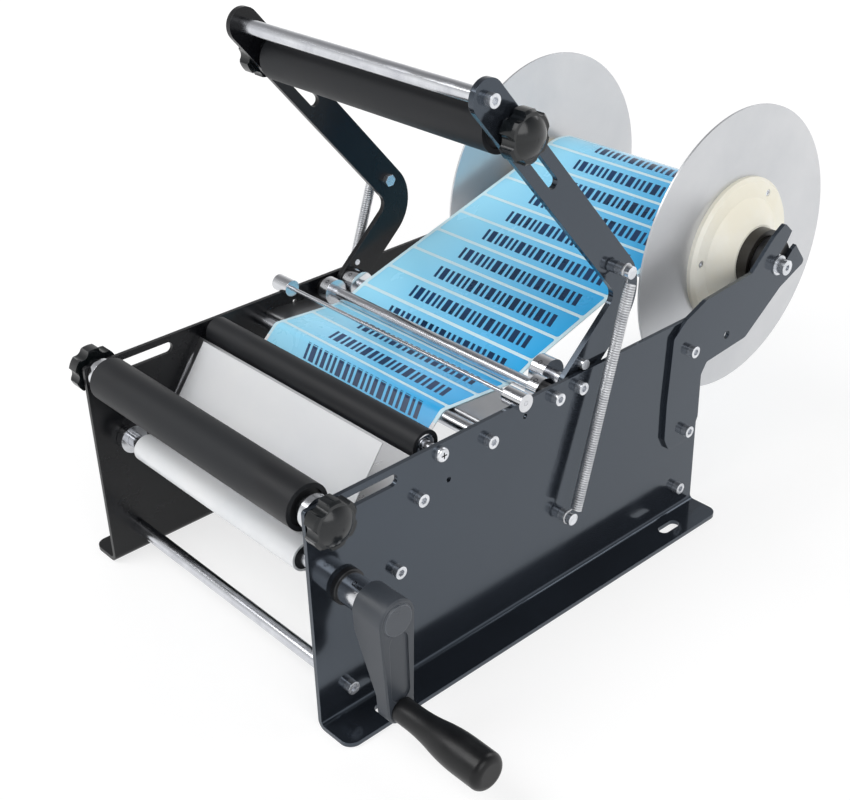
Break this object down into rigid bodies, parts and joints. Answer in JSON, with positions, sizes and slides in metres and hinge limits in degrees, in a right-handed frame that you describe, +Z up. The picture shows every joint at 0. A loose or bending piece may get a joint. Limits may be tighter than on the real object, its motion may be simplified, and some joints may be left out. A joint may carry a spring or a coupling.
{
  "type": "bottle labelling machine",
  "caption": "Hand-cranked labeller for round bottles: two folded side plates with rubber rollers, a sprung press arm, a label web and a reel between discs",
  "frame": {"origin": "on the floor, midway between the side plates and at the middle of their length", "axes": "+X towards the crank side, +Y from the front rollers to the reel, +Z up"},
  "size_m": [0.3811, 0.5402, 0.365],
  "materials": {
    "powder_black": "gloss powder coat, near black",
    "bright_steel": "bright plated bar",
    "zinc_screw": "zinc plated",
    "spring_wire": "drawn wire, close wound",
    "stainless_sheet": "cold rolled sheet with a fine grain",
    "white_facing": "smooth white film",
    "liner_paper": "coated release paper",
    "label_blue": "printed label stock, satin",
    "roller_rubber": "ground rubber",
    "bearing_plastic": "moulded, plain",
    "knob_black": "glossy thermoset",
    "crank_grey": "moulded, fine grain",
    "grip_black": "polished",
    "disc_aluminium": "sheet, satin",
    "hub_cream": "moulded, ivory"
  },
  "bodies": {
    "frame": {"side_plate_right": "powder_black", "side_plate_left": "powder_black", "reel_bracket_right": "powder_black", "reel_bracket_left": "powder_black", "front_tie_rod": "bright_steel", "rear_tie_rod": "bright_steel", "upper_support_rod": "bright_steel", "lower_support_rod": "bright_steel", "peel_rod": "bright_steel", "guide_bar": "bright_steel", "guide_bar_collars": "bright_steel", "arm_pivot_shaft": "bright_steel", "pivot_collars": "bright_steel", "hold_down_wire": "bright_steel", "wire_barrels": "bright_steel", "rear_axle": "bright_steel", "reel_shaft": "bright_steel", "frame_screws": "zinc_screw", "bracket_screws": "zinc_screw", "shaft_end_screws": "zinc_screw", "spring_foot_bolts": "zinc_screw", "table_plate": "stainless_sheet", "chute_plate": "stainless_sheet", "chute_facing": "white_facing", "label_web": "liner_paper", "web_labels": "label_blue", "guide_bar_bushes": "bearing_plastic", "drive_bushes": "bearing_plastic", "shaft_stop_collar": "bearing_plastic"},
    "crank": {"drive_shaft": "bright_steel", "drive_sleeve": "roller_rubber", "wound_liner": "liner_paper", "drive_collars": "bright_steel", "crank_arm": "crank_grey", "crank_cap": "crank_grey", "grip_pin": "bright_steel"},
    "grip": {"crank_grip": "grip_black"},
    "press_arm": {"arm_strap_right": "powder_black", "arm_strap_left": "powder_black", "arm_top_rod": "bright_steel", "arm_screws": "zinc_screw", "spring_top_bolts": "zinc_screw"},
    "press_carriage": {"press_axle": "bright_steel", "press_collars": "bright_steel", "press_knobs": "knob_black"},
    "press_roller": {"press_roller_sleeve": "roller_rubber", "press_roller_bearings": "bearing_plastic"},
    "front_carriage": {"front_axle": "bright_steel", "front_collars": "bright_steel", "front_knobs": "knob_black"},
    "front_roller": {"front_roller_sleeve": "roller_rubber", "front_roller_bearings": "bearing_plastic"},
    "rear_roller": {"rear_roller_sleeve": "roller_rubber", "rear_roller_bearings": "bright_steel"},
    "springs": {"extension_springs": "spring_wire"},
    "reel": {"reel_disc_left": "disc_aluminium", "reel_hub_left": "hub_cream", "label_roll": "label_blue"},
    "reel_flange": {"reel_disc_right": "disc_aluminium", "reel_hub_right": "hub_cream"}
  },
  "joints": [
    {"name": "crank_turn", "type": "hinge", "parent": "frame", "child": "crank", "pos_m": [0, -0.15, 0.095], "axis": [1, 0, 0], "continuous": true},
    {"name": "grip_turn", "type": "hinge", "parent": "crank", "child": "grip", "pos_m": [0.2, -0.15, 0.03], "axis": [1, 0, 0], "continuous": true},
    {"name": "arm_swing", "type": "hinge", "parent": "frame", "child": "press_arm", "pos_m": [0, 0.0468, 0.1481], "axis": [1, 0, 0], "range_deg": [0, 58]},
    {"name": "spring_swing", "type": "hinge", "parent": "frame", "child": "springs", "pos_m": [0, 0.0335, 0.0565], "axis": [1, 0, 0], "range_deg": [0, 26.75], "deforming": ["extension_springs"]},
    {"name": "press_roller_slide", "type": "slide", "parent": "press_arm", "child": "press_carriage", "axis": [0, 0.6397, -0.7686], "range_m": [-0.0078, 0.0502]},
    {"name": "press_roller_turn", "type": "hinge", "parent": "press_carriage", "child": "press_roller", "pos_m": [0, -0.0083, 0.32963], "axis": [1, 0, 0], "continuous": true},
    {"name": "front_roller_slide", "type": "slide", "parent": "frame", "child": "front_carriage", "axis": [0, 1, 0], "range_m": [0, 0.0515]},
    {"name": "front_roller_turn", "type": "hinge", "parent": "front_carriage", "child": "front_roller", "pos_m": [0, -0.163, 0.1485], "axis": [1, 0, 0], "continuous": true},
    {"name": "rear_roller_turn", "type": "hinge", "parent": "frame", "child": "rear_roller", "pos_m": [0, -0.0737, 0.1505], "axis": [1, 0, 0], "continuous": true},
    {"name": "reel_turn", "type": "hinge", "parent": "frame", "child": "reel", "pos_m": [0, 0.2545, 0.1666], "axis": [1, 0, 0], "continuous": true},
    {"name": "flange_slide", "type": "slide", "parent": "reel", "child": "reel_flange", "axis": [1, 0, 0], "range_m": [0, 0.0085]}
  ],
  "couplings": [
    {"joint": "reel_turn", "follows": "crank_turn", "ratio": -0.21839},
    {"joint": "spring_swing", "follows": "arm_swing", "ratio": 0.4605}
  ]
}
